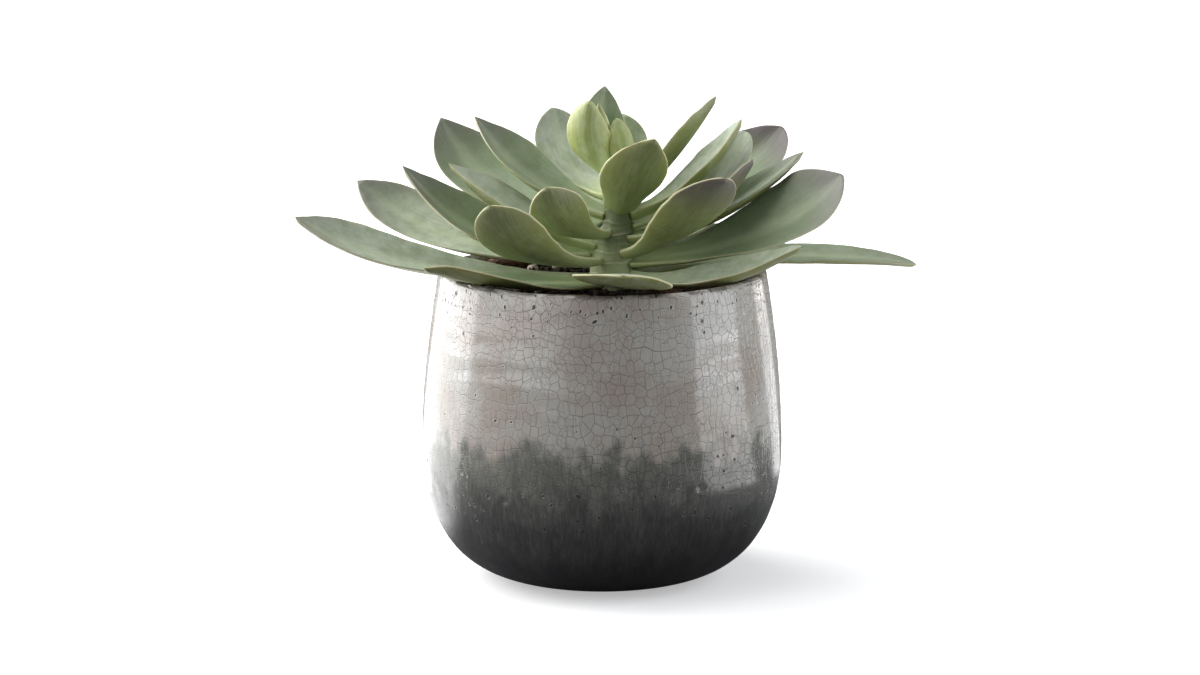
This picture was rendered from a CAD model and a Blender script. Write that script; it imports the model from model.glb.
"""The looks of a rosette succulent in a round crackle-glazed pot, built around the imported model.

Every piece is a surface worked out with numpy on a grid of two parameters, with a procedural finish.
Lengths of shapes are in millimetres, and MM turns them into Blender's metres. The settings, the finishes
and the studio are in metres.
Z is up, the origin is the middle of the pot's foot, +X is to the viewer's right, -Y points at the viewer.
"""
from collections import namedtuple

import bpy
import numpy as np
from bpy.props import FloatProperty, FloatVectorProperty, IntProperty, PointerProperty
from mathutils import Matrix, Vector


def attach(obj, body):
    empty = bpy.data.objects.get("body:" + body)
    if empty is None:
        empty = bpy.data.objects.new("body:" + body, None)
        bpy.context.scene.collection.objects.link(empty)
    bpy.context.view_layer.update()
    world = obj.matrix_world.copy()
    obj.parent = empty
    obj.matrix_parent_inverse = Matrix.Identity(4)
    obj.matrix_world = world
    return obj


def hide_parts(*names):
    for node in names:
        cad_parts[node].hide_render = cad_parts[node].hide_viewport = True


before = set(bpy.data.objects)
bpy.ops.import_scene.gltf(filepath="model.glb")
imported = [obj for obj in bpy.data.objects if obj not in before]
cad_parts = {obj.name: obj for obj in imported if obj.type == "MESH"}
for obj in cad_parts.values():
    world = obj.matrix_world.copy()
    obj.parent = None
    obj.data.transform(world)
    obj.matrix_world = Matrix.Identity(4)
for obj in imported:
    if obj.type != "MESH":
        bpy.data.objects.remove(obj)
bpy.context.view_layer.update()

bl_info = {
    "name": "Potted dudleya",
    "version": (1, 0, 0),
    "blender": (4, 5, 0),
    "location": "View3D > Sidebar > Dudleya",
    "description": "Builds a potted rosette succulent with its glazes, leaves, soil and studio",
    "category": "Add Mesh",
}

MM = 0.001
LATTICE = 32
# Starting numbers of the random draws
SWELL_SEED, LIP_SEED, SOIL_SEED, CRUMB_SEED, CRUMB_LUMP_SEED = 5, 8, 21, 77, 31
STEM_SEED, LEAF_SEED, BARK_SEED, STONE_SEED = 51, 61, 100, 300

# Pot: its outside runs out from the foot, turns up at the belly and leans in to the rim
POT_HEIGHT = 141.0
FOOT_RADIUS, FOOT_RUN, FOOT_LIFT = 36.0, 32.0, 1.0
BELLY_RADIUS, BELLY_HEIGHT, BELLY_DROP, BELLY_RISE = 82.4, 60.0, 33.0, 30.0
RIM_RADIUS, RIM_LEAN, RIM_DROP, RIM_ROUND = 75.0, 3.5, 24.0, 2.5
WALL = 5.0
FLOOR, FLOOR_RADIUS, FLOOR_RUN, FLOOR_DROP = 9.0, 30.0, 28.0, 26.0
POT_SIDES = 384
FOOT_ROWS, BODY_ROWS, LIP_ROWS, INSIDE_ROWS = 6, 84, 14, 24
# Its skin: a slow swell that fades to the foot, throwing rings, a wavering lip, raised rims of craters
SWELL, SWELL_CELL, SWELL_FADE = 0.20, 38, 12
RING_STEP, RING_BEND = 1.9, 1.6
LIP_BAND, LIP_CELL = 14, 17
CRATER_RIM, CRATER_RIM_AT, CRATER_RIM_WIDTH = 0.45, 1.3, 0.4
SKIN_RADIUS = 0.080  # metres: of the cylinder on which the glaze's pattern lies

# Burst bubbles in the glaze: direction in degrees, height, radius and depth
Crater = namedtuple("Crater", "turn height radius depth")
CRATERS = (
    Crater(238.4, 48.7, 2.2, 0.7), Crater(274.7, 47.7, 2.4, 0.8), Crater(301.7, 54.7, 2.0, 0.6),
    Crater(211, 134.5, 2.2, 0.25), Crater(217, 132.5, 2.0, 0.20),
    Crater(120, 70, 2.3, 0.7), Crater(40, 96, 2.2, 0.6), Crater(166, 52, 2.4, 0.8),
)

# Soil: its top is a gently tipped plane, highest at the back left
SOIL_TOP, SOIL_SLOPE_X, SOIL_SLOPE_Y, SOIL_GAP = 131.8, -0.028, 0.022, 0.7
SOIL_ROWS, SOIL_SIDES = 90, 220
SOIL_CELL, SOIL_LAYERS, SOIL_EDGE_DROP = 9, 4, 4
# Crumbs: logarithm of the usual size and its spread, least and greatest size, gap to the wall
CRUMB_SIZE, CRUMB_SPREAD, CRUMB_LEAST, CRUMB_MOST, CRUMB_MARGIN = 0.35, 0.42, 0.7, 3.4, 2.2
BALL_ROWS, BALL_SIDES = 5, 8

# Stem: height, sideways lean and radius at its rings, and where old leaves left a collar
STEM_RINGS = (
    (100.0, 4.0, 9.8), (131.0, 4.0, 9.8), (146.0, 4.0, 9.6), (156.0, 4.6, 9.2),
    (161.0, 6.8, 6.8), (170.0, 7.2, 6.1), (180.0, 7.0, 5.4), (189.0, 6.0, 2.8),
)
STEM_ROWS, STEM_SIDES = 220, 96
COLLARS = (134.0, 138.8, 144.7, 149.6, 153.4, 158.2, 163.0, 168.0)
RIDGE_HEIGHT, RIDGE_HALF, GROOVE_DEPTH, GROOVE_HALF, GROOVE_RISE = 0.32, 0.55, 0.14, 0.35, 0.9
STEM_SWELL = 0.12
PLANT_AXIS = 4.5

# Leaves: sections gather towards the tip, blades thin from base to tip and flatten at their edges
LEAF_STATIONS, LEAF_SIDES = 110, 56
LEAF_THICKNESS, BASE_FAT, TIP_THIN = 3.4, 1.15, 0.5
EDGE_FULLNESS, EDGE_WIDTH = 0.8, 3.0
GATHER, UNFOLD, GROWTH = 1.7, 0.45, 1.9
SEAT_DEPTH = 0.6
LAST_STATION, DENT_DEPTH, DENT_CELL = 0.9995, 0.34, 6

# height: where it leaves the stem; seat: the direction there; turn: the direction of its tip
# reach and tip: how far out and how high the tip lies; bow: how far the spine rises over the chord
# crest: where along the chord the bow is deepest; sway: the bow to the side
# roll and twist: the turn about the spine at the base, and what is added up to the tip
# cup: how far the blade folds up along its middle; soft: how round that fold is
# neck, widest and point: the outline's base width, the place of its full width, how sharp it ends
Leaf = namedtuple(
    "Leaf", "name height seat turn reach tip bow width roll twist cup neck widest point crest sway soft",
    defaults=(0.5, 0.0, 0.35))
LEAVES = (
    Leaf("low_leaf_1", 136.8, 196, 204, 152, 174, -10.6, 29, -21, -4, 0.50, 0.18, 0.70, 0.9, crest=0.68),
    Leaf("low_leaf_2", 135.0, 232, 219, 106, 152, -3.6, 25, -32, 46, 0.35, 0.28, 0.58, 0.5),
    Leaf("low_leaf_3", 137.5, 282, 273, 88.5, 152.5, -3.2, 44, -9, 0, 0.05, 0.24, 0.68, 0.3, crest=0.85),
    Leaf("low_leaf_4", 138.0, 328, 326, 100, 160, -9, 25, 24, -8, 0.60, 0.28, 0.62, 0.5),
    Leaf("low_leaf_5", 137.5, 8, 8, 142, 139.5, 5.2, 30, 8, 0, 0.30, 0.24, 0.66, 0.45),
    Leaf("low_leaf_6", 142.7, 163, 165, 122, 177, -10.6, 31, -26, -2, 0.35, 0.18, 0.72, 0.95, crest=0.62),
    Leaf("low_leaf_7", 143.5, 356, 356, 104.5, 185, -11, 43, 18, 22, 0.40, 0.32, 0.76, 0.7, crest=0.6),
    Leaf("low_leaf_8", 142.0, 100, 97, 79, 151, -3, 28, 0, 0, 0.40, 0.30, 0.66, 0.4),
    Leaf("low_leaf_9", 142.0, 50, 42, 78, 153, -5, 28, 10, 0, 0.40, 0.30, 0.66, 0.4),
    Leaf("mid_leaf_1", 145.3, 238, 232, 87, 180, -11, 29, 30, 0, 0.40, 0.16, 0.68, 0.5, crest=0.68),
    Leaf("mid_leaf_2", 147.5, 188, 183, 95, 189, -13.5, 29, -34, 0, 0.70, 0.22, 0.58, 1.0),
    Leaf("mid_leaf_3", 148.5, 310, 312, 74, 190, -7, 34, -12, 0, 0.40, 0.20, 0.68, 0.3),
    Leaf("mid_leaf_4", 149.0, 58, 52, 79, 165, -6, 28, 10, 0, 0.40, 0.30, 0.66, 0.4),
    Leaf("mid_leaf_5", 150.5, 10, 8, 88.5, 193, -7, 24, 10, 0, 0.60, 0.35, 0.60, 1.0),
    Leaf("mid_leaf_6", 151.0, 140, 132, 75, 158, -6, 28, -10, 0, 0.40, 0.30, 0.66, 0.4),
    Leaf("mid_leaf_7", 151.5, 204, 195, 76, 192, -6, 30, -24, 0, 0.60, 0.24, 0.60, 1.0),
    Leaf("mid_leaf_8", 155.0, 336, 342, 66, 194, -9.5, 30, 5, 0, 0.50, 0.26, 0.64, 0.6),
    Leaf("mid_leaf_9", 156.5, 45, 40, 105, 197.5, -9, 36, 18, 0, 0.50, 0.26, 0.72, 0.6),
    Leaf("mid_leaf_10", 158.0, 247, 242, 62, 186, -9, 26, 30, 0, 0.40, 0.20, 0.66, 0.45, crest=0.66),
    Leaf("upper_leaf_1", 160.0, 146, 148, 94, 204, -14, 37, -22, 0, 0.30, 0.26, 0.68, 0.95, crest=0.62),
    Leaf("upper_leaf_2", 159.4, 98, 90, 84, 169, -6, 27, 0, 0, 0.40, 0.30, 0.66, 0.4),
    Leaf("upper_leaf_3", 160.5, 18, 17, 65, 201, -8, 32, 20, 5, 0.40, 0.30, 0.68, 0.2),
    Leaf("upper_leaf_4", 165.0, 176, 168, 64, 209, -7.5, 30, -27, 0, 0.65, 0.34, 0.60, 0.95),
    Leaf("upper_leaf_5", 165.0, 0, 5, 59, 209, -7.5, 23, 8, 0, 0.60, 0.45, 0.60, 0.8),
    Leaf("upper_leaf_6", 167.0, 100, 110, 96, 178, -5, 30, 0, 0, 0.40, 0.30, 0.66, 0.4),
    Leaf("upper_leaf_7", 168.5, 285, 293, 48, 206, -4, 31, -8, 0, 0.40, 0.58, 0.48, 0.7, sway=-2.8),
    Leaf("upper_leaf_8", 171.2, 30, 29, 55, 217, -2.8, 22, -40, 0, 0.50, 0.40, 0.55, 1.0),
    Leaf("upper_leaf_9", 173.0, 125, 125, 48, 210, -12.5, 31, 0, 0, 0.30, 0.25, 0.74, 0.45),
    Leaf("bud_leaf_1", 176.5, 62, 73, 16, 210, -4, 21, 30, 0, 0.40, 0.30, 0.55, 0.5, soft=0.8),
    Leaf("bud_leaf_2", 180.0, 318, 346, 2, 210, -4, 14, -25, 0, 0.70, 0.35, 0.60, 0.3, sway=-1.5, soft=0.8),
    Leaf("bud_leaf_3", 182.0, 240, 225, 14, 219, -6, 23, 25, 0, 0.80, 0.30, 0.55, 0.5, sway=-3.5, soft=0.8),
    Leaf("bud_leaf_4", 182.0, 110, 129, 5, 224, -3, 23, 0, 0, 0.50, 0.30, 0.50, 0.7, sway=3.5, soft=0.8),
    Leaf("bud_leaf_5", 187.0, 215, 195, 6.5, 217, -1, 8, 40, 0, 0.50, 0.50, 0.50, 1.0),
)

# How each leaf is coloured, in the order of LEAVES and from 0 to 1: bloom of pale wax, purple tip, pale
# yellow base, cream rim
TINTS = (
    # low leaves
    (0.9, 0.5, 0.4, 0.3), (0.05, 0.2, 0.5, 0.9), (1, 0.1, 0.3, 1), (1, 0.2, 0.6, 0.5),
    (0.5, 0.4, 0.3, 0.2), (0.9, 0.6, 0.4, 0.3), (0.28, 0.8, 0.8, 0.4), (0.6, 0.4, 0.4, 0.3),
    (0.6, 0.5, 0.4, 0.3),
    # middle leaves
    (0.4, 0.3, 0.5, 0.8), (0.3, 0.6, 0.5, 0.3), (0.3, 0.9, 0.3, 0.9), (0.6, 0.4, 0.4, 0.3),
    (0, 0.6, 0.4, 0.3), (0.5, 0.4, 0.4, 0.3), (1, 0.3, 0.8, 0.3), (0, 0.9, 0.4, 0.5), (0, 1, 0.3, 0.4),
    (0.3, 0.3, 0.4, 0.9),
    # upper leaves
    (0.25, 0.65, 0.4, 0.3), (0.5, 0.4, 0.4, 0.3), (1, 0.2, 1, 0.3), (0.35, 0.6, 0.4, 0.4),
    (1, 0.2, 0.7, 0.6), (0.5, 0.5, 0.4, 0.3), (0.3, 0.2, 0.3, 1), (0.4, 0.3, 0.8, 0.3),
    (0.95, 0.3, 1, 0.3),
    # bud leaves
    (0.7, 0.2, 0.3, 0.2), (0.7, 0.1, 0.4, 0.2), (0.5, 0.1, 0.9, 0.4), (0.3, 0.5, 0.3, 0.3),
    (0.9, 0.2, 0.9, 0.8),
)

# Top dressing: place on the soil, turn in degrees, length, width and thickness
BARK_ROWS, BARK_SIDES, STONE_ROWS, STONE_SIDES = 60, 44, 40, 48
SQUARE_ENDS, SQUARE_SIDES = 0.42, 0.45
Chip = namedtuple("Chip", "x y turn length width thickness")
BARK = (
    Chip(-43, 40, 25, 20, 11, 4.5), Chip(-13, -31, 8, 17, 7, 2.8), Chip(-52, 12, 80, 16, 9, 4.0),
    Chip(-18, 56, 160, 18, 9, 4.0), Chip(20, 52, 30, 15, 9, 3.6), Chip(46, 36, 120, 17, 10, 4.0),
    Chip(58, 2, 75, 16, 8, 3.6), Chip(46, -36, 40, 18, 9, 4.0), Chip(18, -52, 170, 16, 9, 3.8),
    Chip(-20, -54, 20, 15, 8, 3.6), Chip(-48, -30, 130, 18, 9, 3.8), Chip(31, -10, 60, 14, 8, 3.4),
    Chip(-26, 12, 100, 13, 8, 3.4), Chip(6, 31, 10, 15, 8, 3.6),
)
STONES = (
    Chip(-27.5, 45.5, 20, 8, 6.5, 5.0), Chip(-20, 38, 70, 7, 6.0, 4.6), Chip(-32, 31, 130, 6, 5.0, 4.0),
    Chip(40, 14, 15, 8, 6.0, 4.6), Chip(30, -34, 50, 7, 5.5, 4.2), Chip(-34, -12, 30, 7, 6.0, 4.4),
    Chip(2, -40, 80, 6, 5.0, 4.0), Chip(32, 30, 10, 6, 5.5, 4.0),
)

# Studio: panels of light by direction, height, distance, width and length, all in metres and degrees
Softbox = namedtuple("Softbox", "name turn height distance width length share colour")
SOFTBOXES = (
    Softbox("left_softbox", 149, 0.55, 1.05, 1.30, 1.10, 1.0, (1.0, 1.0, 1.0)),
    Softbox("right_softbox", 350.5, 0.50, 1.00, 0.75, 0.92, 0.71, (0.93, 0.97, 1.0)),
    Softbox("back_right_softbox", 45, 0.50, 1.10, 0.38, 0.95, 0.49, (1.0, 0.99, 0.97)),
    Softbox("top_softbox", 140, 1.30, 0.35, 1.20, 1.00, 0.60, (1.0, 1.0, 0.99)),
)
# Stretches of the bright floor that the glaze mirrors: from and to in radians, nearest distance, share
GLEAMS = ((2.09, 3.107, 0.10, 1.0), (-0.506, 0.175, 0.21, 0.82), (0.62, 0.95, 0.21, 0.68))
GLEAM_BLUR = 0.012
# The room is brighter towards this direction, from this cosine of the angle to it
SIDE_LIGHT_FROM, SIDE_LIGHT_EDGE = (-0.93, -0.26, 0.26), 0.46
PALE_FLOOR, DIM_FLOOR, WHITE = (0.78, 0.78, 0.79), (0.18, 0.18, 0.185), (1.0, 1.0, 1.0)
STAGE_RINGS, STAGE_SIDES, STAGE_DROP, STAGE_DEPTH = 20, 64, 0.3, 20
CAMERA_PLACE, CAMERA_TARGET = (-0.001, -1.600, 0.406), (-0.001, 0.0, 0.109)
CAMERA_LENS, CAMERA_SENSOR = 106.8, 36.0
AIM = (0.0, 0.0, 0.12)


def colour_setting(name, description, default):
    """A colour that a user may change."""
    return FloatVectorProperty(name=name, description=description, default=default, subtype="COLOR",
                               size=3, min=0.0, max=1.0)


def length_setting(name, description, default):
    """A length in metres that a user may change."""
    return FloatProperty(name=name, description=description, default=default, min=0.0,
                         subtype="DISTANCE", unit="LENGTH", precision=5)


def light_setting(name, description, default):
    """A brightness that a user may change."""
    return FloatProperty(name=name, description=description, default=default, min=0.0)


class PotSettings(bpy.types.PropertyGroup):
    """Sizes and glazes of the pot."""

    throwing_rings: length_setting("Throwing rings", "Depth of the rings left by the potter's hand", 0.00005)
    lip_waver: length_setting("Lip waver", "How far the lip rises and falls", 0.0004)
    crackle_cell: length_setting("Crackle cell", "Width of a cell of the crackle", 0.0039)
    light_glaze: colour_setting("Light glaze", "Glaze of the upper half", (0.41, 0.395, 0.37))
    warm_glaze: colour_setting("Warm glaze", "Where the clay warms the light glaze", (0.36, 0.318, 0.282))
    band_glaze: colour_setting("Band glaze", "Greenish band under the light glaze", (0.145, 0.148, 0.130))
    dark_glaze: colour_setting("Dark glaze", "Glaze of the lower third", (0.050, 0.050, 0.048))
    foot_glaze: colour_setting("Foot glaze", "Glaze near the foot", (0.009, 0.007, 0.011))


class PlantSettings(bpy.types.PropertyGroup):
    """Sizes and colours of the stem and the leaves."""

    ribs: length_setting("Ribs", "Height of the fine ribs along a leaf", 0.00009)
    edge_waver: length_setting("Edge waver", "How far a leaf's edges waver", 0.0006)
    leaf_green: colour_setting("Leaf green", "Upper face under its wax", (0.17, 0.235, 0.115))
    wax: colour_setting("Wax", "Pale bloom on the upper face", (0.55, 0.60, 0.49))
    olive: colour_setting("Olive", "Underside of a leaf", (0.245, 0.285, 0.10))
    pale_base: colour_setting("Pale base", "Where a leaf leaves the stem", (0.52, 0.60, 0.30))
    purple_tip: colour_setting("Purple tip", "Tip burnt by the sun", (0.110, 0.093, 0.092))
    cream_rim: colour_setting("Cream rim", "Thin edge of a leaf", (0.74, 0.72, 0.46))
    stem_green: colour_setting("Stem green", "Bare stem", (0.40, 0.45, 0.25))
    scar_brown: colour_setting("Scar brown", "Dry collars left by old leaves", (0.20, 0.15, 0.08))


class DressingSettings(bpy.types.PropertyGroup):
    """Soil, bark and stones."""

    crumbs: IntProperty(name="Crumbs", description="How many loose crumbs lie on the soil",
                        default=1500, min=0)
    lumps: length_setting("Lumps", "How far the soil rises and falls", 0.0012)
    soil_brown: colour_setting("Soil brown", "Damp potting mix", (0.022, 0.015, 0.011))
    bark_brown: colour_setting("Bark brown", "Chips of bark", (0.15, 0.070, 0.042))
    stone_pink: colour_setting("Stone pink", "Small pale stones", (0.55, 0.46, 0.42))


class StudioSettings(bpy.types.PropertyGroup):
    """Light of the studio."""

    panel_light: light_setting("Panel light", "Brightness of the brightest panel of light", 4.3)
    room_light: light_setting("Room light", "Brightness of the rest of the room", 0.12)
    side_light: light_setting("Side light", "Brightness of the room to the front left", 2.6)
    floor_gleam: light_setting("Floor gleam", "Brightness of the floor that the glaze mirrors", 3.2)
    floor_glow: light_setting("Floor glow", "How far the floor fades to white by the pot", 0.40)


def times(colour, factor):
    """A colour made darker or lighter."""
    return tuple(min(1.0, part * factor) for part in colour)


def full_turn(sides):
    """Directions spread evenly round a full turn."""
    return np.linspace(0, 2 * np.pi, sides, endpoint=False)


def round_axis(radius, turn, height):
    """Points at these radii, directions and heights."""
    return np.stack(np.broadcast_arrays(radius * np.cos(turn), radius * np.sin(turn), height), axis=-1)


def middles(rings):
    """The middle of the first ring and that of the last."""
    return np.stack([rings[0].mean(axis=0), rings[-1].mean(axis=0)])


def lattice_noise(points, cell, seed):
    """Smooth noise from -1 to 1: random values on a cubic lattice of cells, blended by an eased weight
    from the eight corners round each point."""
    table = np.random.default_rng(seed).uniform(-1, 1, (LATTICE,) * 3)
    scaled = points / np.asarray(cell, dtype=float)
    low = np.floor(scaled).astype(int)
    ease = (scaled - low) ** 2 * (3 - 2 * (scaled - low))
    total = np.zeros(points.shape[:-1])
    for corner in np.ndindex(2, 2, 2):
        at = (low + corner) % LATTICE
        weight = np.prod(np.where(np.array(corner) == 1, ease, 1 - ease), axis=-1)
        total += weight * table[at[..., 0], at[..., 1], at[..., 2]]
    return total


def layered_noise(points, cell, seed, layers=3):
    """Sum of lattice noises, each half the cell and half the height of the one before."""
    return sum(lattice_noise(points, np.asarray(cell) / 2 ** k, seed + k) / 2 ** k for k in range(layers))


def add_piece(name, points, corners, counts, material, extras=None):
    """A mesh object from points in mm, all face corners in one row and the number of them on each face.

    extras maps attribute names to one row per point, three numbers for a vector or four for a colour.
    The signed volume, a sixth of the triple products of its triangles, tells which way the faces point.
    """
    mesh = bpy.data.meshes.new(name)
    mesh.vertices.add(len(points))
    mesh.vertices.foreach_set("co", (points * MM).astype(np.float32).ravel())
    mesh.loops.add(len(corners))
    mesh.loops.foreach_set("vertex_index", corners.astype(np.int32))
    mesh.polygons.add(len(counts))
    mesh.polygons.foreach_set("loop_start", (np.cumsum(counts) - counts).astype(np.int32))
    mesh.update(calc_edges=True)
    mesh.validate()
    for label, values in (extras or {}).items():
        kind, field = ("FLOAT_VECTOR", "vector") if values.shape[-1] == 3 else ("FLOAT_COLOR", "color")
        mesh.attributes.new(label, kind, "POINT").data.foreach_set(field, values.astype(np.float32).ravel())
    mesh.calc_loop_triangles()
    triangles = np.empty(len(mesh.loop_triangles) * 3, dtype=np.int32)
    mesh.loop_triangles.foreach_get("vertices", triangles)
    a, b, c = points[triangles.reshape(-1, 3)].transpose(1, 0, 2)
    if np.einsum("ij,ij->", a, np.cross(b, c)) < 0:
        mesh.flip_normals()
    mesh.shade_smooth()
    mesh.materials.append(material)
    piece = bpy.data.objects.new(name, mesh)
    bpy.context.scene.collection.objects.link(piece)
    return piece


def add_tube(name, rings, material, extras=None, ends=None):
    """A closed surface through rings of points (rows, sides, 3): quads between rings, and a fan at each end
    to one of two end points, which are the middles of the end rings if none are given."""
    rows, sides = rings.shape[:2]
    index = np.arange(rows * sides).reshape(rows, sides)
    after = np.roll(index, -1, axis=1)
    quads = np.stack([index[:-1], after[:-1], after[1:], index[1:]], axis=-1).reshape(-1)
    first = np.stack([np.full(sides, rows * sides), after[0], index[0]], axis=-1).reshape(-1)
    last = np.stack([np.full(sides, rows * sides + 1), index[-1], after[-1]], axis=-1).reshape(-1)
    counts = np.concatenate([np.full((rows - 1) * sides, 4), np.full(2 * sides, 3)])
    points = np.vstack([rings.reshape(-1, 3), middles(rings) if ends is None else ends])
    flat = {label: np.vstack([v.reshape(-1, v.shape[-1]), middles(v)]) for label, v in (extras or {}).items()}
    return add_piece(name, points, np.concatenate([quads, first, last]), counts, material, flat)


def settle(piece, slot, *nodes):
    """The piece rides on the one body, takes its slot's finish and stands for its nodes."""
    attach(piece, "root")
    if nodes:
        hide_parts(*nodes)
    return piece


class Wire:
    """A socket that carries values through a tree of nodes. Sums and products on it add Math nodes."""

    def __init__(self, nodes, socket):
        self.nodes, self.socket = nodes, socket

    def also(self, output):
        """Another output of the same node."""
        return Wire(self.nodes, self.socket.node.outputs[output])

    def math(self, operation, *terms):
        """A Math node on these terms in their order."""
        return self.nodes.node("Math", {"operation": operation}, dict(enumerate(terms)))

    def __add__(self, other):
        return self.math("ADD", self, other)

    def __sub__(self, other):
        return self.math("SUBTRACT", self, other)

    def __rsub__(self, other):
        return self.math("SUBTRACT", other, self)

    def __mul__(self, other):
        return self.math("MULTIPLY", self, other)

    def __abs__(self):
        return self.math("ABSOLUTE", self)

    __radd__, __rmul__ = __add__, __mul__

    def most(self, other):
        """The larger of the two."""
        return self.math("MAXIMUM", self, other)

    def over(self, limit):
        """1 where the value is over the limit, else 0."""
        return self.math("GREATER_THAN", self, limit)

    def ease(self, low, high, start=0.0, end=1.0):
        """An S-shaped step from start at low to end at high."""
        return self.nodes.node("MapRange", {"interpolation_type": "SMOOTHSTEP"}, {
            "Value": self, "From Min": low, "From Max": high, "To Min": start, "To Max": end})


class Nodes:
    """A tree of nodes, and one method that adds any node to it."""

    def __init__(self, tree):
        self.tree = tree

    def plug(self, socket, value):
        """Links a wire to the socket, or sets the socket's own value."""
        if isinstance(value, Wire):
            self.tree.links.new(value.socket, socket)
        else:
            is_colour = socket.type == "RGBA" and len(value) == 3
            socket.default_value = (*value, 1.0) if is_colour else value

    def node(self, kind, settings=None, inputs=None, output=0):
        """A node of this type: its settings first, then its sockets; gives one of its outputs."""
        made = self.tree.nodes.new("ShaderNode" + kind)
        for label, value in (settings or {}).items():
            setattr(made, label, value)
        for label, value in (inputs or {}).items():
            self.plug(made.inputs[label], value)
        return Wire(self, made.outputs[output])

    def mix(self, share, first, second, blend="MIX"):
        """Two colours mixed by a share."""
        inputs = {0: share, 6: first, 7: second}
        return self.node("Mix", {"data_type": "RGBA", "blend_type": blend}, inputs, 2)

    def coats(self, body, *layers):
        """Each layer's colour over what lies under it, by the layer's share."""
        for share, colour in layers:
            body = self.mix(share, body, colour)
        return body

    def shade(self, body, share, factor):
        """The body with its colour times a factor, by a share."""
        return self.mix(share, body, self.mix(1.0, body, factor, "MULTIPLY"))

    def noise(self, vector, cell, detail=2.0, roughness=0.5):
        """Noise about 0.5 with cells of this size in the vector's units."""
        return self.node("TexNoise", None, {"Vector": vector, "Scale": 1 / cell, "Detail": detail,
                                            "Roughness": roughness}, "Fac")

    def cells(self, vector, cell, feature="F1", flat=False):
        """Distance within Voronoi cells of this size, in cells; flat ones read only the first two numbers."""
        settings = {"feature": feature, "voronoi_dimensions": "2D" if flat else "3D"}
        inputs = {"Vector": vector, "Scale": 1 / cell, "Randomness": 0.66 if flat else 1.0}
        return self.node("TexVoronoi", settings, inputs, "Distance")

    def vector(self, operation, first, second=None):
        """A Vector Math node."""
        inputs = {0: first} if second is None else {0: first, 1: second}
        return self.node("VectorMath", {"operation": operation}, inputs)

    def parts(self, vector):
        """The three numbers of a vector."""
        x = self.node("SeparateXYZ", None, {"Vector": vector}, "X")
        return x, x.also("Y"), x.also("Z")

    def join(self, x, y, z):
        """A vector of three numbers."""
        return self.node("CombineXYZ", None, {0: x, 1: y, 2: z})

    def place(self):
        """Object coordinates in metres."""
        return self.node("TexCoord", None, None, "Object")

    def attribute(self, name, output="Vector"):
        """An attribute of the piece's own mesh."""
        return self.node("Attribute", {"attribute_name": name}, None, output)


class Finish(Nodes):
    """A material with a Principled shader."""

    def __init__(self, name, **constants):
        self.material = bpy.data.materials.new(name)
        self.material.use_nodes = True
        super().__init__(self.material.node_tree)
        self.shader = self.tree.nodes["Principled BSDF"]
        for label, value in constants.items():
            self.shader.inputs[label.replace("_", " ")].default_value = value

    def finish(self, colour, roughness, height, depth, strength):
        """Feeds colour, roughness and a bump from a height to the shader, and gives the material."""
        bump = self.node("Bump", None, {"Strength": strength, "Distance": depth, "Height": height})
        for label, value in (("Base Color", colour), ("Roughness", roughness), ("Normal", bump)):
            self.plug(self.shader.inputs[label], value)
        return self.material


def bezier(ends, steps):
    """Points (r, z) of the cubic curve with four control points."""
    t = np.linspace(0.0, 1.0, steps)[:, None]
    a, b, c, d = (np.array(p, dtype=float) for p in ends)
    return (1 - t) ** 3 * a + 3 * (1 - t) ** 2 * t * b + 3 * (1 - t) * t ** 2 * c + t ** 3 * d


def upper_curve(inset, steps):
    """The wall's line from the belly to below the lip, moved in by an inset."""
    belly, rim = BELLY_RADIUS - inset, RIM_RADIUS - inset
    return bezier(((belly, BELLY_HEIGHT), (belly, BELLY_HEIGHT + BELLY_RISE),
                   (rim + RIM_LEAN, POT_HEIGHT - RIM_DROP), (rim, POT_HEIGHT - RIM_ROUND)), steps)


def inner_profile(inset, steps):
    """The pot's inside from the floor up to the rim, drawn in by an inset for what fills it."""
    belly, floor = BELLY_RADIUS - WALL - inset, FLOOR + inset
    lower = bezier(((FLOOR_RADIUS, floor), (FLOOR_RADIUS + FLOOR_RUN, floor),
                    (belly, BELLY_HEIGHT - FLOOR_DROP), (belly, BELLY_HEIGHT)), steps)
    return np.vstack([lower, upper_curve(WALL + inset, steps)[1:]])


def pot_profile():
    """Radius and height round the whole section: foot, belly, half-round lip, inside and floor."""
    foot = np.stack([np.linspace(FOOT_RADIUS / FOOT_ROWS, FOOT_RADIUS, FOOT_ROWS), np.zeros(FOOT_ROWS)], 1)
    lower = bezier(((FOOT_RADIUS, 0), (FOOT_RADIUS + FOOT_RUN, FOOT_LIFT),
                    (BELLY_RADIUS, BELLY_HEIGHT - BELLY_DROP), (BELLY_RADIUS, BELLY_HEIGHT)), BODY_ROWS)
    turn = np.linspace(0, np.pi, LIP_ROWS)[1:-1]
    lip = np.stack([RIM_RADIUS - WALL / 2 + WALL / 2 * np.cos(turn),
                    POT_HEIGHT - RIM_ROUND + RIM_ROUND * np.sin(turn)], 1)
    return np.vstack([foot, lower[1:], upper_curve(0, BODY_ROWS)[1:], lip,
                      inner_profile(0, INSIDE_ROWS)[::-1], (FLOOR_RADIUS / 2, FLOOR)])


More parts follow.
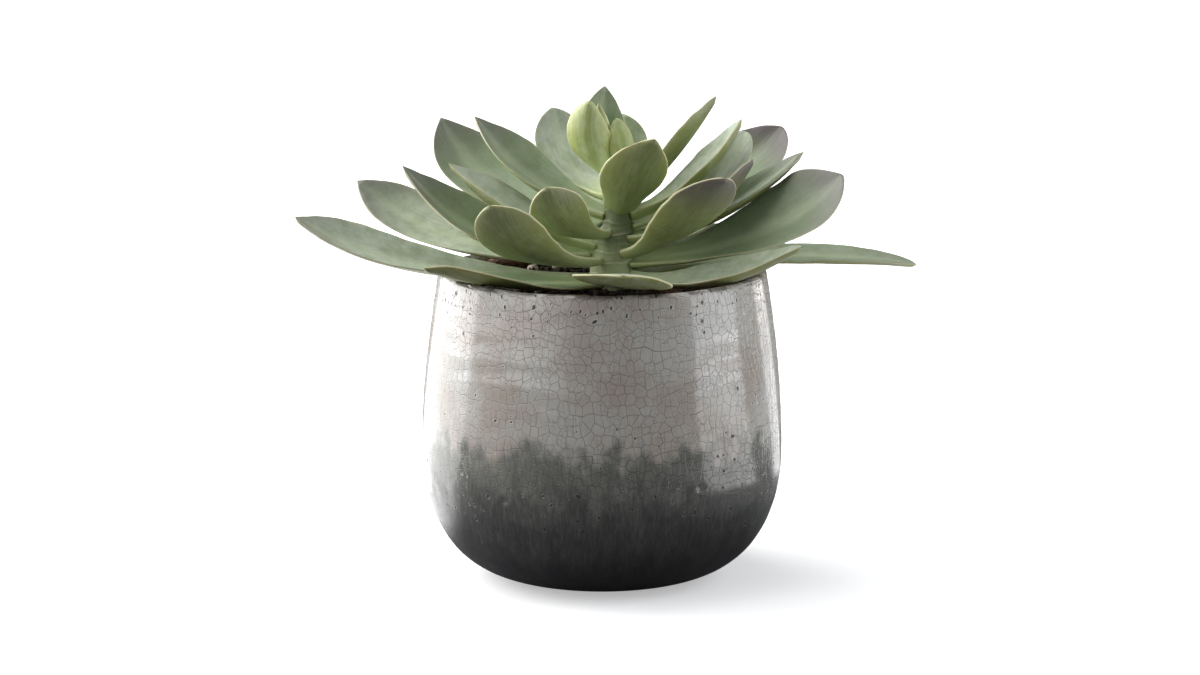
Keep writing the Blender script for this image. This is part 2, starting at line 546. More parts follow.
def pot_surface(rings_depth, waver):
    """The profile carried round the axis. The radius gains slow noise, a sine of the height that the
    noise bends for the throwing rings, and a hollow with a raised rim for each crater."""
    profile = pot_profile()
    turn = full_turn(POT_SIDES)
    r, z = profile[:, :1], profile[:, 1:]
    points = round_axis(r, turn, z)
    slow = lattice_noise(points, SWELL_CELL, SWELL_SEED)
    outside = (np.arange(len(profile)) < FOOT_ROWS + 2 * BODY_ROWS)[:, None]
    standing = np.clip(z / SWELL_FADE, 0, 1)
    thrown = rings_depth * np.sin(z / RING_STEP + RING_BEND * slow)
    swell = SWELL * slow * standing + thrown * standing * outside
    for crater in CRATERS:
        sideways = r * np.angle(np.exp(1j * (turn - np.radians(crater.turn))))
        away = np.hypot(sideways, z - crater.height) / crater.radius
        rim = CRATER_RIM * np.exp(-((away - CRATER_RIM_AT) / CRATER_RIM_WIDTH) ** 2)
        swell += crater.depth * outside * (rim - np.exp(-away ** 2))
    near_lip = np.clip((z - (POT_HEIGHT - LIP_BAND)) / LIP_BAND, 0, 1)
    return round_axis(r + swell, turn, z + waver * lattice_noise(points, LIP_CELL, LIP_SEED) * near_lip)


def glaze_finish(pot):
    """Light crackled glaze that runs down over a greenish band into charcoal with fine vertical fur.

    The crackle lies on the angle round the pot times its radius and on the height. Noise bends both, so
    that no straight seam shows where the angle starts again behind the pot.
    """
    look = Finish("crackle_glaze", IOR=1.58)
    place = look.place()
    x, y, z = look.parts(place)
    unit = look.vector("NORMALIZE", look.join(x, y, 0.0))
    a, b, _ = look.parts(look.vector("MULTIPLY", unit, (SKIN_RADIUS,) * 3))
    lobes = look.noise(look.join(a, b, z * 0.7), 0.010, 2.0, 0.5)
    fur = look.noise(look.join(a, b, z * 0.2), 0.0011, 3.0, 0.7)
    broad = look.noise(place, 0.034, 2.0)
    patches = look.noise(place, 0.009, 3.0)
    level = z + (lobes - 0.5) * 0.040 + (fur - 0.5) * 0.003
    light = look.mix((broad + (patches - 0.5) * 0.5).ease(0.38, 0.66), pot.light_glaze, pot.warm_glaze)
    body = look.mix(level.ease(0.064, 0.077), pot.band_glaze, light)
    body = look.mix(level.ease(0.036, 0.062), pot.dark_glaze, body)
    body = look.mix(level.ease(0.006, 0.040), pot.foot_glaze, body)
    furry = level.ease(0.030, 0.075, 1.0, 0.18)
    body = look.shade(body, furry * fur.ease(0.34, 0.66, 0.75, 0.0), (0.35, 0.35, 0.37))
    body = look.shade(body, furry * fur.ease(0.56, 0.80, 0.0, 0.5), (2.2, 2.2, 2.1))

    swirl = look.node("TexNoise", None, {"Vector": place, "Scale": 55.0, "Detail": 1.0}, "Color")
    sway, rise, _ = look.parts(look.vector("MULTIPLY", swirl, (0.010,) * 3))
    round_way = x.math("ARCTAN2", x + sway - 0.005, y * -1.0) * SKIN_RADIUS
    skin = look.join(round_way, (z + rise) * 0.86, 0.0)
    coarse = look.cells(skin, pot.crackle_cell, "DISTANCE_TO_EDGE", flat=True).ease(0.006, 0.060, 1.0, 0.0)
    presence = look.noise(place, 0.007, 1.0).ease(0.42, 0.56)
    fine = look.cells(skin, pot.crackle_cell * 0.56, "DISTANCE_TO_EDGE", flat=True)
    crackle = coarse.most(fine.ease(0.006, 0.075, 1.0, 0.0) * presence * 0.8)
    held = level.ease(0.036, 0.066)
    body = look.shade(body, crackle * (held * 0.62 + 0.10), (0.30, 0.29, 0.29))

    spots = look.cells(skin, 0.0034, flat=True)
    chance, size, _ = look.parts(spots.also("Color"))
    rim_band = z.ease(0.122, 0.132) + level.ease(0.066, 0.052) * level.ease(0.030, 0.044) * 0.7
    chosen = (chance + rim_band * 0.34).over(0.95)
    width = size * size * 0.16 + 0.07
    pit = (spots - width).ease(-0.05, 0.03, 1.0, 0.0) * chosen
    halo = abs(spots - width - 0.07).ease(0.0, 0.06, 1.0, 0.0) * chosen
    lip = z.ease(0.1386, 0.1404)
    body = look.coats(body, (halo * held * 0.22, (0.62, 0.60, 0.57)), (pit * 0.94, (0.012, 0.011, 0.011)),
                      (lip * patches.ease(0.42, 0.60) * 0.7, (0.05, 0.045, 0.04)))

    grain = look.noise(place, 0.0011, 2.0)
    waves = look.noise(look.join(a, b, z * 0.4), 0.011, 1.0)
    height = waves * 0.25 + grain * 0.05 - crackle * 0.12 * held - pit * 0.9 + halo * 0.2 + fur * furry * 0.25
    rough = 0.045 + patches * 0.05 + crackle * 0.10 + pit * 0.4 + level.ease(0.040, 0.058, 0.26, 0.0)
    return look.finish(body, rough, height, 0.0007, 0.5)


def make_pot(pot):
    """The glazed pot."""
    rings = pot_surface(pot.throwing_rings / MM, pot.lip_waver / MM)
    ends = np.array([(0, 0, 0), (0, 0, FLOOR)], dtype=float)
    settle(add_tube("glazed_pot", rings, glaze_finish(pot), ends=ends), "glaze", "pot")


def soil_height(x, y):
    """Height of the soil's tipped top plane."""
    return SOIL_TOP + SOIL_SLOPE_X * x + SOIL_SLOPE_Y * y


def on_soil(x, y, lumps):
    """Points on the soil's top: the tipped plane and layered noise of the place on it."""
    rise = layered_noise(np.stack([x, y, np.zeros_like(x)], axis=-1), SOIL_CELL, SOIL_SEED, SOIL_LAYERS)
    return np.stack([x, y, soil_height(x, y) + lumps * rise], axis=-1)


def soil_surface(lumps):
    """Up the inside of the pot a hair off its wall, then in over the lumpy top to the middle."""
    inside = inner_profile(SOIL_GAP, INSIDE_ROWS)
    inside = inside[inside[:, 1] < SOIL_TOP - SOIL_EDGE_DROP]
    wall = inner_profile(SOIL_GAP, 60)
    reach = np.interp(SOIL_TOP, wall[:, 1], wall[:, 0]) * np.linspace(1, 0.02, SOIL_ROWS)[:, None]
    turn = full_turn(SOIL_SIDES)
    top = on_soil(reach * np.cos(turn), reach * np.sin(turn), lumps)
    return np.vstack([round_axis(inside[:, :1], turn, inside[:, 1:]), top])


def earth_finish(dressing):
    """Damp dark mix: near black hollows, brown fibres and a few lighter grains."""
    look = Finish("potting_mix", Specular_IOR_Level=0.35)
    place, colour = look.place(), tuple(dressing.soil_brown)
    clods = look.noise(place, 0.006, 4.0, 0.65)
    grains = look.noise(place, 0.0016, 3.0, 0.7)
    flecks = look.cells(place, 0.0034)
    chosen = flecks.ease(0.10, 0.20, 1.0, 0.0) * look.parts(flecks.also("Color"))[0].over(0.80)
    body = look.mix(clods.ease(0.36, 0.64), times(colour, 0.45), colour)
    body = look.coats(body, (grains.ease(0.56, 0.74) * 0.6, times(colour, 3.4)),
                      (chosen * 0.5, (0.23, 0.19, 0.15)))
    return look.finish(body, grains.ease(0.3, 0.8, 0.95, 0.65), clods + grains * 0.6, 0.0012, 0.9)


def make_soil(dressing):
    """The soil that fills the pot."""
    rings = soil_surface(dressing.lumps / MM)
    settle(add_tube("potting_soil", rings, earth_finish(dressing)), "soil", "soil")


def ball_template():
    """A ball with few faces: points on the unit sphere, the corners of its quads and of its triangles."""
    tilt = np.linspace(0, np.pi, BALL_ROWS + 2)[1:-1, None]
    grid = round_axis(np.sin(tilt), full_turn(BALL_SIDES), np.cos(tilt))
    count = BALL_ROWS * BALL_SIDES
    index = np.arange(count).reshape(BALL_ROWS, BALL_SIDES)
    after = np.roll(index, -1, axis=1)
    quads = np.stack([index[:-1], index[1:], after[1:], after[:-1]], axis=-1).reshape(-1, 4)
    top = np.stack([np.full(BALL_SIDES, count), index[0], after[0]], axis=-1)
    bottom = np.stack([np.full(BALL_SIDES, count + 1), after[-1], index[-1]], axis=-1)
    return np.vstack([grid.reshape(-1, 3), (0, 0, 1), (0, 0, -1)]), quads, np.vstack([top, bottom])


def turn_matrices(rng, count):
    """Random turns: each axis is a column of an orthonormal frame made from two random vectors."""
    a = rng.normal(size=(count, 3))
    b = rng.normal(size=(count, 3))
    a /= np.linalg.norm(a, axis=1)[:, None]
    b -= np.einsum("ij,ij->i", a, b)[:, None] * a
    b /= np.linalg.norm(b, axis=1)[:, None]
    return np.stack([a, b, np.cross(a, b)], axis=2)


def crumb_finish():
    """Crumbs of the mix: each has its own tone between near black, red brown bark and grey grit."""
    look = Finish("mix_crumbs", Specular_IOR_Level=0.3)
    place = look.place()
    tone, warm, pale = look.parts(look.attribute("tone"))
    grains = look.noise(place, 0.0007, 3.0, 0.7)
    body = look.coats((0.012, 0.009, 0.007), (tone, (0.060, 0.040, 0.028)), (warm, (0.15, 0.072, 0.045)),
                      (pale, (0.42, 0.36, 0.32)), (grains.ease(0.35, 0.7, 0.0, 0.55), (0.008, 0.006, 0.005)))
    return look.finish(body, grains.ease(0.3, 0.7, 0.9, 0.7), grains, 0.0005, 0.8)


def make_crumbs(dressing):
    """Loose crumbs: lumpy balls of a few dozen faces, squashed, turned and strewn over the soil."""
    count = dressing.crumbs
    rng = np.random.default_rng(CRUMB_SEED)
    ball, quads, triangles = ball_template()
    size = np.exp(rng.normal(CRUMB_SIZE, CRUMB_SPREAD, count)).clip(CRUMB_LEAST, CRUMB_MOST)
    reach = np.sqrt(rng.uniform(0.03, 1, count)) * (RIM_RADIUS - WALL - CRUMB_MARGIN - size)
    turn = rng.uniform(0, 2 * np.pi, count)
    centre = on_soil(reach * np.cos(turn), reach * np.sin(turn), dressing.lumps / MM)
    centre[:, 2] += 0.25 * size
    flatter = rng.uniform(0.5, 1, count), rng.uniform(0.35, 0.9, count)
    squash = size[:, None] * np.stack([np.ones(count), *flatter], axis=-1)
    places = ball[None] * 2.2 + rng.uniform(0, 30, (count, 1, 3))
    lumps = 1 + 0.33 * lattice_noise(places, 1.0, CRUMB_LUMP_SEED)
    shaped = ball[None] * lumps[..., None] * squash[:, None] * 0.75
    points = np.einsum("nij,nkj->nki", turn_matrices(rng, count), shaped) + centre[:, None]
    offset = np.arange(count)[:, None, None] * len(ball)
    corners = np.concatenate([(quads[None] + offset).ravel(), (triangles[None] + offset).ravel()])
    counts = np.concatenate([np.full(len(quads) * count, 4), np.full(len(triangles) * count, 3)])
    tone = np.stack([rng.uniform(0, 1, count), (rng.uniform(0, 1, count) > 0.88) * 0.8,
                     (rng.uniform(0, 1, count) > 0.985) * 0.9], axis=-1)
    tones = {"tone": np.repeat(tone, len(ball), axis=0)}
    settle(add_piece("loose_crumbs", points.reshape(-1, 3), corners, counts, crumb_finish(), tones), "soil")


def lay_down(points, chip):
    """Turns points modelled flat at the origin and lays them on the tipped soil."""
    turn = np.radians(chip.turn)
    x = chip.x + points[..., 0] * np.cos(turn) - points[..., 1] * np.sin(turn)
    y = chip.y + points[..., 0] * np.sin(turn) + points[..., 1] * np.cos(turn)
    return np.stack([x, y, points[..., 2] + soil_height(x, y) + chip.thickness / 2 + 0.2], axis=-1)


def rounded_power(values, power):
    """A sine or cosine raised to a power with its sign kept, which squares off a ball."""
    return np.sign(values) * np.abs(values) ** power


def bark_surface(chip, number):
    """A squared-off ball as a short board, with layers that step in at its sides and fibres along it."""
    tilt = np.linspace(-np.pi / 2, np.pi / 2, BARK_ROWS + 2)[1:-1, None]
    turn = full_turn(BARK_SIDES)[None]
    x = rounded_power(np.sin(tilt), SQUARE_ENDS) * np.ones_like(turn)
    y = rounded_power(np.cos(tilt), SQUARE_ENDS) * rounded_power(np.cos(turn), SQUARE_SIDES)
    z = rounded_power(np.cos(tilt), SQUARE_ENDS) * rounded_power(np.sin(turn), SQUARE_SIDES)
    board = np.stack([x * chip.length / 2, y * chip.width / 2, z * chip.thickness / 2], axis=-1)
    seed = BARK_SEED + number
    fibres = layered_noise(board, (9.0, 1.3, 0.9), seed, 3)
    bend = lattice_noise(board, (11.0, 8.0, 20.0), seed + 9)
    scale = 1 + 0.10 * fibres + 0.16 * bend
    board = board * np.stack([0.96 + 0.10 * bend, scale, scale], axis=-1)
    board[..., 2] += 0.9 * bend
    grain = np.stack([board[..., 0] * 0.12, board[..., 1], board[..., 2] + number * 7], axis=-1)
    return lay_down(board, chip), {"grain": grain, "fibre": np.repeat(fibres[..., None], 3, -1)}


def bark_finish(dressing):
    """Red brown bark with dark splits and paler raised fibres along its grain."""
    look = Finish("pine_bark", Specular_IOR_Level=0.3)
    grain = look.attribute("grain")
    fibre = look.parts(look.attribute("fibre"))[0]
    threads = look.noise(grain, 0.55, 4.0, 0.65)
    blotch = look.noise(look.place(), 0.005, 3.0)
    colour = tuple(dressing.bark_brown)
    body = look.mix(threads.ease(0.34, 0.70), times(colour, 0.22), colour)
    body = look.coats(body, (fibre.ease(0.1, 0.9) * 0.5, (0.30, 0.17, 0.11)),
                      (blotch.ease(0.5, 0.75) * 0.55, (0.045, 0.028, 0.020)))
    return look.finish(body, threads.ease(0.2, 0.8, 0.92, 0.7), threads + blotch * 0.4, 0.0009, 0.8)


def stone_surface(chip, number):
    """A squashed ball that noise swells and planes off in places."""
    tilt = np.linspace(-np.pi / 2, np.pi / 2, STONE_ROWS + 2)[1:-1, None]
    ball = round_axis(np.cos(tilt), full_turn(STONE_SIDES), np.sin(tilt))[..., [2, 0, 1]]
    seed = STONE_SEED + number
    swell = 1 + 0.16 * lattice_noise(ball + number, 0.7, seed) + 0.03 * lattice_noise(ball, 0.16, seed + 3)
    sizes = np.array([chip.length, chip.width, chip.thickness])
    return lay_down(ball * np.minimum(swell, 1.08)[..., None] * sizes / 2, chip)


def stone_finish(dressing):
    """Pale pink grit with grey grains and damp darker spots."""
    look = Finish("pale_stone", Specular_IOR_Level=0.4)
    place = look.place()
    grains = look.noise(place, 0.0012, 4.0, 0.7)
    stains = look.noise(place, 0.004, 2.0)
    body = look.coats(dressing.stone_pink, (stains.ease(0.40, 0.66), (0.36, 0.25, 0.20)),
                      (grains.ease(0.55, 0.72) * 0.7, (0.75, 0.71, 0.68)),
                      (grains.ease(0.42, 0.30) * 0.6, (0.12, 0.10, 0.09)))
    return look.finish(body, stains.ease(0.3, 0.7, 0.75, 0.5), grains + stains * 0.5, 0.0006, 0.7)


def make_dressing(dressing):
    """Bark chips and small stones on the soil."""
    bark, stone = bark_finish(dressing), stone_finish(dressing)
    for number, chip in enumerate(BARK, start=1):
        rings, extras = bark_surface(chip, number)
        settle(add_tube(f"bark_piece_{number}", rings, bark, extras), "bark", f"bark_chip_{number}")
    for number, chip in enumerate(STONES, start=1):
        settle(add_tube(f"pebble_{number}", stone_surface(chip, number), stone), "stone", f"stone_{number}")


def stem_at(height):
    """Sideways lean and radius of the stem at a height; nothing above its tip."""
    heights, leans, radii = (np.array(column) for column in zip(*STEM_RINGS))
    radius = np.where(height > heights[-1], 0.0, np.interp(height, heights, radii))
    return np.interp(height, heights, leans), radius


def stem_surface():
    """Rings up the leaning stem. At each collar a ridge steps out and a groove lies over it; noise bends
    the collars and swells the skin between them."""
    height = np.linspace(STEM_RINGS[0][0], STEM_RINGS[-1][0], STEM_ROWS)[:, None]
    turn = full_turn(STEM_SIDES)[None]
    lean, radius = stem_at(height)
    skin = round_axis(10, turn, height)
    bent = height + 1.1 * lattice_noise(skin, (7, 7, 40), STEM_SEED)
    bent = bent + 0.3 * lattice_noise(skin, (2, 2, 9), STEM_SEED + 1)
    ridge, groove = np.zeros_like(bent), np.zeros_like(bent)
    for number, collar in enumerate(COLLARS):
        bold = 0.65 + 0.35 * np.sin(turn * 2 + number * 2.1)
        ridge += bold * np.exp(-((bent - collar) / RIDGE_HALF) ** 2)
        groove += bold * np.exp(-((bent - collar - GROOVE_RISE) / GROOVE_HALF) ** 2)
    fat = radius + RIDGE_HEIGHT * ridge - GROOVE_DEPTH * groove
    rings = round_axis(fat + STEM_SWELL * lattice_noise(skin, 4.5, STEM_SEED + 2), turn, height)
    rings[..., 0] += lean
    return rings, {"scar": np.stack([ridge, groove, np.zeros_like(ridge)], axis=-1)}


def stem_finish(plant):
    """Pale waxy green stem, drier and browner at its collars, with faint upright streaks."""
    look = Finish("waxy_stem", Specular_IOR_Level=0.45, Subsurface_Weight=0.08, Subsurface_Scale=0.002)
    place = look.place()
    ridge, groove, _ = look.parts(look.attribute("scar"))
    x, y, z = look.parts(place)
    streaks = look.noise(look.join(x, y, z * 0.15), 0.0012, 3.0)
    blotch = look.noise(place, 0.005, 3.0)
    colour = tuple(plant.stem_green)
    body = look.mix(streaks.ease(0.3, 0.7), times(colour, 0.85), colour)
    body = look.coats(body, (blotch.ease(0.45, 0.75) * 0.4, (0.32, 0.38, 0.18)),
                      (z.ease(0.147, 0.158, 0.0, 0.84), (0.085, 0.105, 0.045)),
                      (ridge.ease(0.3, 1.0) * 0.35, (0.50, 0.54, 0.36)),
                      (groove.ease(0.25, 0.9) * 0.45, plant.scar_brown),
                      (z.ease(0.133, 0.140, 0.6, 0.0) * blotch.ease(0.3, 0.6), (0.10, 0.09, 0.05)))
    return look.finish(body, blotch.ease(0.3, 0.7, 0.55, 0.42), streaks + blotch, 0.0005, 0.5)


def make_stem(plant):
    """The bare stem under and between the leaves."""
    rings, extras = stem_surface()
    settle(add_tube("plant_stem", rings, stem_finish(plant), extras), "stem", "stem")


def half_width(leaf, t):
    """Half the blade's width along it: a neck that swells to the full width, then closes to the tip."""
    rise = np.clip(t / leaf.widest, 0, 1)
    fall = np.clip((t - leaf.widest) / (1 - leaf.widest), 0, 1)
    grow = leaf.neck + (1 - leaf.neck) * np.sin(rise * np.pi / 2) ** GROWTH
    close = np.maximum(1 - fall ** 2.2, 0) ** (0.5 + 0.5 * leaf.point)
    return leaf.width / 2 * np.where(t < leaf.widest, grow, close)


def clasp_stem(points):
    """Points that would lie deep in the stem move straight out to just under its surface."""
    lean, radius = stem_at(points[..., 2])
    x, y = points[..., 0] - lean, points[..., 1]
    reach = np.maximum(np.hypot(x, y), 1e-6)
    push = np.maximum(np.maximum(radius - SEAT_DEPTH, 0) / reach, 1)
    return np.stack([lean + x * push, y * push, points[..., 2]], axis=-1)


def blade_spine(leaf, t):
    """Points of a parabola from the stem to the tip, bowed up or down by bow and sideways by sway, with
    its direction, its sideways direction rolled about it, and the direction over its upper face."""
    seat, turn = np.radians(leaf.seat), np.radians(leaf.turn)
    lean, radius = stem_at(leaf.height)
    root = radius - SEAT_DEPTH
    start = np.array([lean + root * np.cos(seat), root * np.sin(seat), leaf.height])
    end = np.array([PLANT_AXIS + leaf.reach * np.cos(turn), leaf.reach * np.sin(turn), leaf.tip])
    chord = end - start
    level = np.array([-np.sin(seat), np.cos(seat), 0.0])
    side = level - (level @ chord) * chord / (chord @ chord)
    side /= np.linalg.norm(side)
    lift = np.cross(chord, side)
    lift /= np.linalg.norm(lift)
    handle = start + leaf.crest * chord + 2 * leaf.bow * lift + 2 * leaf.sway * side
    spine = (1 - t) ** 2 * start + 2 * t * (1 - t) * handle + t ** 2 * end
    along = 2 * (1 - t) * (handle - start) + 2 * t * (end - handle)
    along /= np.linalg.norm(along, axis=1)[:, None]
    side = level - (along @ level)[:, None] * along
    side /= np.linalg.norm(side, axis=1)[:, None]
    up = np.cross(along, side)
    roll = np.radians(leaf.roll + leaf.twist * t)
    return spine, side * np.cos(roll) + up * np.sin(roll), up * np.cos(roll) - side * np.sin(roll)


def blade_surface(leaf, number, ribs, waver):
    """Sections along the spine: each is a flat oval bent up along its middle, over which fine ribs, slow
    dents and wavering edges are laid. Gives the rings, the ends and what the finish reads."""
    t = (1 - (1 - np.linspace(0, 1, LEAF_STATIONS)) ** GATHER)[:, None]
    t[-1] = LAST_STATION
    spine, side, up = blade_spine(leaf, t)
    angle = full_turn(LEAF_SIDES)[None] + np.pi / LEAF_SIDES
    across, over = np.cos(angle), np.sin(angle)
    half = half_width(leaf, t)
    whole = np.ones((LEAF_STATIONS, LEAF_SIDES))
    run, wide = t * np.linalg.norm(spine[-1] - spine[0]) * whole, across * half
    edge = np.stack([run, np.sign(across) * 40 * whole + number * 11.3, whole], axis=-1)
    slow, quick = lattice_noise(edge, (19, 1, 1), LEAF_SEED), lattice_noise(edge, (5.5, 1, 1), LEAF_SEED + 1)
    free = np.clip(t * 6, 0, 1) * np.clip(half / 6, 0, 1)
    fold = (np.sqrt(across ** 2 + leaf.soft ** 2) - leaf.soft) / (np.sqrt(1 + leaf.soft ** 2) - leaf.soft)
    bend = leaf.cup * (1 - UNFOLD * t)
    body = LEAF_THICKNESS / 2 * (BASE_FAT - TIP_THIN * t) * np.minimum(1, half / EDGE_WIDTH)
    body = body * np.where(over > 0, 0.85, 1.15)
    face = np.sign(over) * np.abs(over) ** 0.35 * whole
    skin = np.stack([wide, run / 26, face * 9 + number * 5.7], axis=-1)
    ribbing = lattice_noise(skin, (0.9, 1, 3), LEAF_SEED + 2)
    ribbing = ribbing + 0.6 * lattice_noise(skin, (2.3, 1, 3), LEAF_SEED + 3)
    skin = np.stack([wide, run * 0.25, face * 3 + number * 9], axis=-1)
    dents = DENT_DEPTH * lattice_noise(skin, DENT_CELL, LEAF_SEED + 4)
    rise = half * np.sin(bend) * fold + body * np.sign(over) * np.abs(over) ** EDGE_FULLNESS
    rise = rise + (ribs * ribbing * (1 - across ** 6) + dents) * free
    rise = rise + waver * (1.2 * slow + 0.35 * quick) * across ** 2 * free
    out = wide * np.cos(bend) + waver * 0.7 * (slow + 0.5 * quick) * across * free
    rings = clasp_stem(spine[:, None] + side[:, None] * out[..., None] + up[:, None] * rise[..., None])
    ends = middles(rings)
    ends[0] = clasp_stem(ends[0])
    return rings, ends, {
        "blade": np.stack([t * whole, across * whole, face * whole], axis=-1),
        "grain": np.stack([wide, run * 0.07, number * 5.0 + face * 1.5], axis=-1),
        "tint": np.broadcast_to(np.array(TINTS[number], dtype=float), (LEAF_STATIONS, LEAF_SIDES, 4)),
    }


def leaf_finish(name, plant, lift):
    """Waxy leaf: blue-grey bloom over green above, olive below, pale at the base, purple at the tip, a
    cream line along its rim, and fine streaks from base to tip."""
    look = Finish(name, Specular_IOR_Level=0.5, Subsurface_Weight=0.10, Subsurface_Scale=0.0025)
    place = look.place()
    along, across, face = look.parts(look.attribute("blade"))
    grain = look.attribute("grain")
    wax, purple, base = look.parts(look.attribute("tint"))
    rim_share = look.attribute("tint", "Alpha")
    streaks = look.noise(grain, 0.85, 3.0, 0.6)
    threads = look.noise(grain, 0.28, 2.0, 0.6)
    mottle = look.noise(place, 0.0065, 4.0, 0.6)
    speckle = look.noise(place, 0.0016, 2.0, 0.6)
    middle = abs(across)
    upper = face.ease(-0.3, 0.3)
    bloom = wax * mottle.ease(0.25, 0.70, 0.45, 1.0) * streaks.ease(0.25, 0.75, 0.65, 1.0)
    top = look.coats(plant.leaf_green, (bloom, plant.wax),
                     (middle.ease(0.05, 0.35, 0.30, 0.0), (0.55, 0.62, 0.42)))
    below = look.coats(times(plant.olive, 0.72), (streaks.ease(0.3, 0.7), plant.olive),
                       (middle.ease(0.45, 0.95, 0.0, 0.5), (0.34, 0.35, 0.11)),
                       (wax * mottle.ease(0.40, 0.75, 0.0, 0.35), plant.wax))
    young = base * (along + (streaks - 0.5) * 0.15).ease(0.04, 0.42, 0.9, 0.0)
    burnt = purple * (along + (streaks - 0.5) * 0.22 + middle * 0.10).ease(0.66, 1.04)
    body = look.coats(below, (upper, top), (young, plant.pale_base), (burnt, plant.purple_tip))
    body = look.shade(body, threads.ease(0.42, 0.72) * 0.28, (0.62, 0.64, 0.55))
    body = look.shade(body, speckle.ease(0.60, 0.74) * 0.22, (1.4, 1.4, 1.35))
    body = look.mix(middle.ease(0.955, 0.99) * rim_share * 0.85, body, plant.cream_rim)
    body = look.mix(1.0, body, (lift,) * 3, "MULTIPLY")
    rough = 0.36 + mottle * 0.16 + (streaks - 0.5) * 0.08
    return look.finish(body, rough, streaks * 0.8 + threads * 0.3 + speckle * 0.25, 0.0004, 0.45)


def make_leaves(plant):
    """Every blade of the rosette, from the lowest up to the bud."""
    grown, young = leaf_finish("waxy_leaf", plant, 1.0), leaf_finish("young_leaf", plant, 1.5)
    for number, leaf in enumerate(LEAVES):
        is_bud = leaf.name.startswith("bud")
        rings, ends, extras = blade_surface(leaf, number, plant.ribs / MM, plant.edge_waver / MM)
        piece = add_tube(leaf.name + "_blade", rings, young if is_bud else grown, extras, ends)
        settle(piece, "bud" if is_bud else "leaf", leaf.name)


def floor_finish(glow, gleam):
    """White floor that fades to plain white away from the pot. The glaze and the leaves see it dim, but
    for the stretches lit by the windows, which lie between two directions round the pot."""
    look = Finish("studio_floor")
    x, y, _ = look.parts(look.place())
    away = look.vector("LENGTH", look.join(x, y, 0.0)).also("Value")
    turn = x.math("ARCTAN2", y, x)
    lit = 0.0
    for low, high, near, share in GLEAMS:
        after = turn.ease(low - GLEAM_BLUR, low + GLEAM_BLUR)
        before = turn.ease(high + GLEAM_BLUR, high - GLEAM_BLUR)
        lit = after * before * away.ease(near - 0.02, near + 0.03) * share + lit
    pale = look.node("BsdfDiffuse", None, {"Color": PALE_FLOOR})
    light = look.node("Emission", None, {"Color": WHITE, "Strength": away.ease(0.15, 1.1, glow, 1.0)})
    dim = look.node("BsdfDiffuse", None, {"Color": DIM_FLOOR})
    bright = look.node("Emission", None, {"Color": WHITE, "Strength": gleam})
    mirrored = look.node("MixShader", None, {0: lit, 1: dim, 2: bright})
    shown = look.node("AddShader", None, {0: pale, 1: light})
    seen = look.node("LightPath", None, None, "Is Camera Ray")
    look.tree.nodes.remove(look.shader)
    look.plug(look.tree.nodes["Material Output"].inputs["Surface"],
              look.node("MixShader", None, {0: seen, 1: mirrored, 2: shown}))
    return look.material


def make_room(studio):
    """Light of the room: a share that grows towards the side light, and plain white for the camera."""
    world = bpy.data.worlds.new("studio_room")
    world.use_nodes = True
    room = Nodes(world.node_tree)
    facing = room.vector("DOT_PRODUCT", room.node("TexCoord", None, None, "Generated"), SIDE_LIGHT_FROM)
    glow = facing.also("Value").ease(SIDE_LIGHT_EDGE, 1.0, studio.room_light, studio.side_light)
    seen = room.node("LightPath", None, None, "Is Camera Ray")
    sky = room.tree.nodes["Background"].inputs
    room.plug(sky["Strength"], room.node("MapRange", None, {"Value": seen, "To Min": glow, "To Max": 1.0}))
    room.plug(sky["Color"], WHITE)
    bpy.context.scene.world = world


def make_studio(studio):
    """Floor, room light, panels of light and the camera."""
    scene = bpy.context.scene
    reach = np.concatenate([[0.02], np.geomspace(0.1, 12, STAGE_RINGS)])[:, None] / MM
    rings = round_axis(reach, full_turn(STAGE_SIDES), -STAGE_DROP)
    rings = np.concatenate([rings, rings[-1:] - (0, 0, STAGE_DEPTH)])
    add_tube("studio_floor", rings, floor_finish(studio.floor_glow, studio.floor_gleam))
    make_room(studio)

    for box in SOFTBOXES:
        lamp = bpy.data.lights.new(box.name, "AREA")
        lamp.shape = "RECTANGLE"
        lamp.size, lamp.size_y = box.width, box.length
        lamp.color = box.colour
        lamp.energy = studio.panel_light * box.share * box.width * box.length * np.pi
        panel = bpy.data.objects.new(box.name, lamp)
        turn = np.radians(box.turn)
        panel.location = (box.distance * np.cos(turn), box.distance * np.sin(turn), box.height)
        panel.rotation_euler = (Vector(AIM) - panel.location).to_track_quat("-Z", "Y").to_euler()
        panel.visible_camera = False
        scene.collection.objects.link(panel)

    camera = bpy.data.objects.new("photo_camera", bpy.data.cameras.new("photo_camera"))
    camera.location = CAMERA_PLACE
    camera.rotation_euler = (Vector(CAMERA_TARGET) - Vector(CAMERA_PLACE)).to_track_quat("-Z", "Y").to_euler()
    camera.data.lens, camera.data.sensor_width = CAMERA_LENS, CAMERA_SENSOR
    scene.collection.objects.link(camera)
    scene.camera = camera
    scene.view_settings.view_transform = "Standard"


class DUDLEYA_OT_pot(bpy.types.Operator):
    """Makes the glazed pot"""

    bl_idname = "dudleya.pot"
    bl_label = "Glazed pot"

    def execute(self, context):
        make_pot(context.scene.dudleya_pot)
        return {"FINISHED"}


class DUDLEYA_OT_soil(bpy.types.Operator):
    """Fills the pot with soil and strews crumbs, bark and stones on it"""

    bl_idname = "dudleya.soil"
    bl_label = "Soil and top dressing"

    def execute(self, context):
        dressing = context.scene.dudleya_dressing
        make_soil(dressing)
        make_crumbs(dressing)
        make_dressing(dressing)
        return {"FINISHED"}


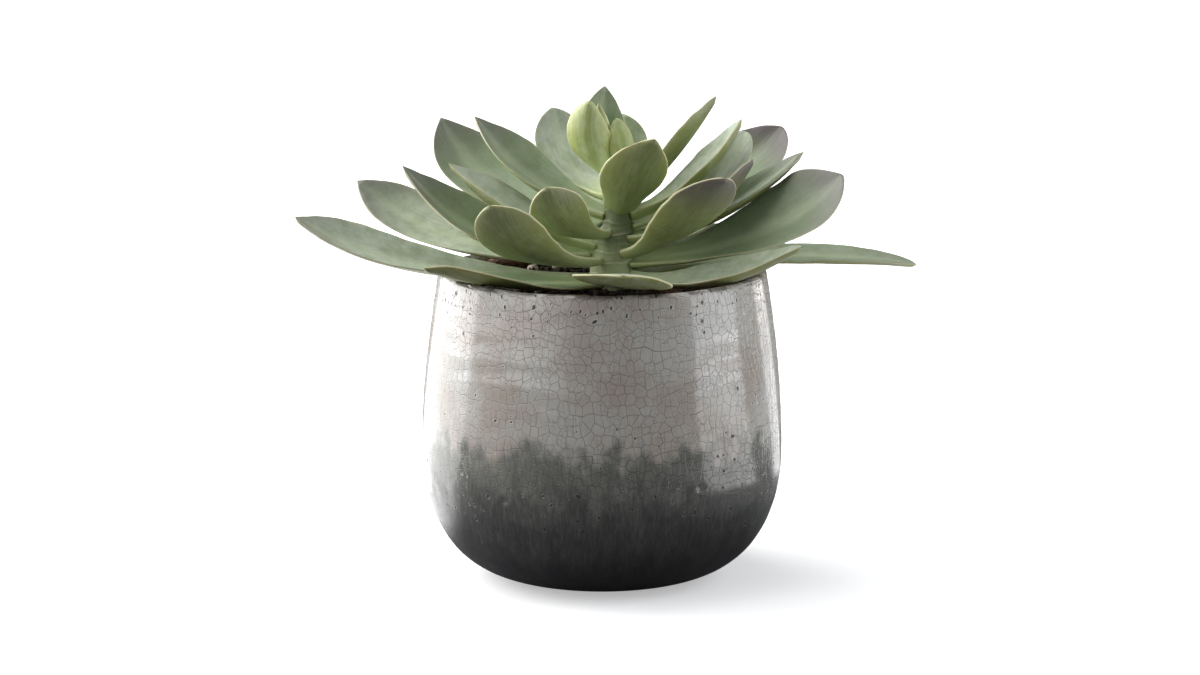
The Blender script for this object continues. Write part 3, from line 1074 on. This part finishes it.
class DUDLEYA_OT_stem(bpy.types.Operator):
    """Makes the stem with the collars of old leaves"""

    bl_idname = "dudleya.stem"
    bl_label = "Stem"

    def execute(self, context):
        make_stem(context.scene.dudleya_plant)
        return {"FINISHED"}


class DUDLEYA_OT_leaves(bpy.types.Operator):
    """Makes every leaf of the rosette"""

    bl_idname = "dudleya.leaves"
    bl_label = "Leaves"

    def execute(self, context):
        make_leaves(context.scene.dudleya_plant)
        return {"FINISHED"}


class DUDLEYA_OT_studio(bpy.types.Operator):
    """Sets the floor, the light and the camera"""

    bl_idname = "dudleya.studio"
    bl_label = "Studio"

    def execute(self, context):
        make_studio(context.scene.dudleya_studio)
        return {"FINISHED"}


class DUDLEYA_PT_panel(bpy.types.Panel):
    """Lists the pieces and their settings"""

    bl_label = "Potted dudleya"
    bl_idname = "DUDLEYA_PT_panel"
    bl_space_type = "VIEW_3D"
    bl_region_type = "UI"
    bl_category = "Dudleya"

    def draw(self, context):
        for operator in OPERATORS:
            self.layout.operator(operator.bl_idname)
        for label in GROUPS:
            settings = getattr(context.scene, label)
            box = self.layout.box()
            for name in settings.__annotations__:
                box.prop(settings, name)


OPERATORS = (DUDLEYA_OT_pot, DUDLEYA_OT_soil, DUDLEYA_OT_stem, DUDLEYA_OT_leaves, DUDLEYA_OT_studio)
GROUPS = {"dudleya_pot": PotSettings, "dudleya_plant": PlantSettings,
          "dudleya_dressing": DressingSettings, "dudleya_studio": StudioSettings}


def register():
    """Adds the settings, operators and panel to Blender."""
    for kind in (*GROUPS.values(), *OPERATORS, DUDLEYA_PT_panel):
        bpy.utils.register_class(kind)
    for label, kind in GROUPS.items():
        setattr(bpy.types.Scene, label, PointerProperty(type=kind))


def unregister():
    """Takes them out again."""
    for label in GROUPS:
        delattr(bpy.types.Scene, label)
    for kind in (DUDLEYA_PT_panel, *reversed(OPERATORS), *reversed(GROUPS.values())):
        bpy.utils.unregister_class(kind)


def main():
    register()
    bpy.ops.dudleya.pot()
    bpy.ops.dudleya.soil()
    bpy.ops.dudleya.stem()
    bpy.ops.dudleya.leaves()
    bpy.ops.dudleya.studio()


if __name__ == "__main__":
    main()
